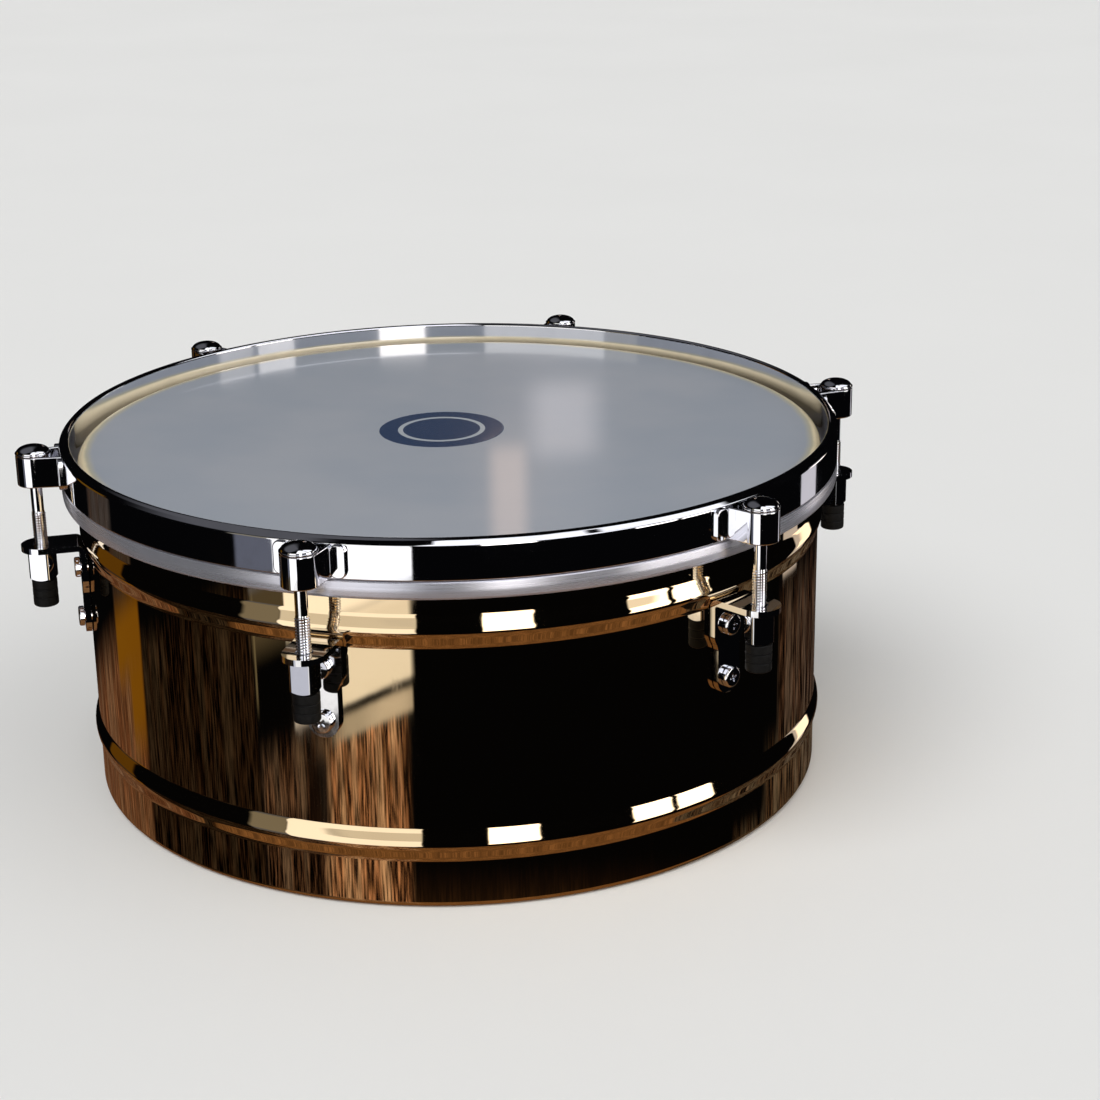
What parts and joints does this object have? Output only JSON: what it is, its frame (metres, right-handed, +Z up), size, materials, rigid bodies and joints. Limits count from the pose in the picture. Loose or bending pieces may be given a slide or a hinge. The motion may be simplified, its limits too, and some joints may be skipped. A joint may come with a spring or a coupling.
{
  "type": "timbale drum",
  "caption": "Shallow metal-shell timbale drum with a film head, steel rim, eyed tension rods on shell brackets, tuning nuts and a clamp bracket for a stand.",
  "frame": {"origin": "on the drum's axis, in the plane of the shell's bottom rim, which it stands on", "axes": "+Z up along the drum's axis towards the head; -Y towards lug 1; the stand bracket is at 150 degrees from -Y towards +X"},
  "size_m": [0.373, 0.4152, 0.1745],
  "materials": {
    "polished_brass": "mirror polished, lacquered",
    "chrome": "chrome plated, mirror polished",
    "steel": "zinc plated, satin",
    "aluminium": "satin, rolled",
    "head_film": "smooth translucent film with a soft gloss",
    "black_rubber": "matte black, moulded"
  },
  "bodies": {
    "shell_body": {"shell": "polished_brass", "lug_bracket_1": "chrome", "lug_bracket_2": "chrome", "lug_bracket_3": "chrome", "lug_bracket_4": "chrome", "lug_bracket_5": "chrome", "lug_bracket_6": "chrome", "lug_backing_plate_1": "steel", "lug_backing_plate_2": "steel", "lug_backing_plate_3": "steel", "lug_backing_plate_4": "steel", "lug_backing_plate_5": "steel", "lug_backing_plate_6": "steel", "lug_screw_1_upper": "chrome", "lug_screw_1_lower": "chrome", "lug_screw_2_upper": "chrome", "lug_screw_2_lower": "chrome", "lug_screw_3_upper": "chrome", "lug_screw_3_lower": "chrome", "lug_screw_4_upper": "chrome", "lug_screw_4_lower": "chrome", "lug_screw_5_upper": "chrome", "lug_screw_5_lower": "chrome", "lug_screw_6_upper": "chrome", "lug_screw_6_lower": "chrome", "mount_gasket": "black_rubber", "mount_backing_plate": "steel", "mount_bracket": "chrome", "mount_screw_1": "chrome", "mount_screw_2": "chrome", "mount_screw_3": "chrome", "mount_screw_4": "chrome"},
    "head_and_rim": {"drum_head": "head_film", "flesh_hoop": "aluminium", "rim_hoop": "chrome", "tension_rod_1": "chrome", "tension_rod_2": "chrome", "tension_rod_3": "chrome", "tension_rod_4": "chrome", "tension_rod_5": "chrome", "tension_rod_6": "chrome"},
    "tuning_nut_1": {"tuning_nut_1": "chrome", "nut_sleeve_1": "black_rubber"},
    "tuning_nut_2": {"tuning_nut_2": "chrome", "nut_sleeve_2": "black_rubber"},
    "tuning_nut_3": {"tuning_nut_3": "chrome", "nut_sleeve_3": "black_rubber"},
    "tuning_nut_4": {"tuning_nut_4": "chrome", "nut_sleeve_4": "black_rubber"},
    "tuning_nut_5": {"tuning_nut_5": "chrome", "nut_sleeve_5": "black_rubber"},
    "tuning_nut_6": {"tuning_nut_6": "chrome", "nut_sleeve_6": "black_rubber"},
    "mount_eyebolt": {"mount_eyebolt": "steel"},
    "mount_wing_nut": {"mount_wing_nut": "chrome"}
  },
  "joints": [
    {"name": "rim_lift", "type": "slide", "parent": "shell_body", "child": "head_and_rim", "axis": [0, 0, 1], "range_m": [0, 0.008]},
    {"name": "nut_1_turn", "type": "hinge", "parent": "shell_body", "child": "tuning_nut_1", "pos_m": [0, -0.1982, 0.1159], "axis": [0, 0, -1], "range_deg": [0, 2305]},
    {"name": "nut_2_turn", "type": "hinge", "parent": "shell_body", "child": "tuning_nut_2", "pos_m": [0.17165, -0.0991, 0.1159], "axis": [0, 0, -1], "range_deg": [0, 2305]},
    {"name": "nut_3_turn", "type": "hinge", "parent": "shell_body", "child": "tuning_nut_3", "pos_m": [0.17165, 0.0991, 0.1159], "axis": [0, 0, -1], "range_deg": [0, 2305]},
    {"name": "nut_4_turn", "type": "hinge", "parent": "shell_body", "child": "tuning_nut_4", "pos_m": [0, 0.1982, 0.1159], "axis": [0, 0, -1], "range_deg": [0, 2305]},
    {"name": "nut_5_turn", "type": "hinge", "parent": "shell_body", "child": "tuning_nut_5", "pos_m": [-0.17165, 0.0991, 0.1159], "axis": [0, 0, -1], "range_deg": [0, 2305]},
    {"name": "nut_6_turn", "type": "hinge", "parent": "shell_body", "child": "tuning_nut_6", "pos_m": [-0.17165, -0.0991, 0.1159], "axis": [0, 0, -1], "range_deg": [0, 2305]},
    {"name": "eyebolt_pull", "type": "slide", "parent": "shell_body", "child": "mount_eyebolt", "axis": [0.5, 0.866, 0], "range_m": [0, 0.0019]},
    {"name": "wing_nut_turn", "type": "hinge", "parent": "shell_body", "child": "mount_wing_nut", "pos_m": [0.10665, 0.18472, 0.08], "axis": [-0.5, -0.866, 0], "range_deg": [0, 548]}
  ],
  "couplings": [
    {"joint": "nut_1_turn", "follows": "rim_lift", "rad_per_m": 5026.5},
    {"joint": "nut_2_turn", "follows": "rim_lift", "rad_per_m": 5026.5},
    {"joint": "nut_3_turn", "follows": "rim_lift", "rad_per_m": 5026.5},
    {"joint": "nut_4_turn", "follows": "rim_lift", "rad_per_m": 5026.5},
    {"joint": "nut_5_turn", "follows": "rim_lift", "rad_per_m": 5026.5},
    {"joint": "nut_6_turn", "follows": "rim_lift", "rad_per_m": 5026.5},
    {"joint": "wing_nut_turn", "follows": "eyebolt_pull", "rad_per_m": 5026.5}
  ]
}
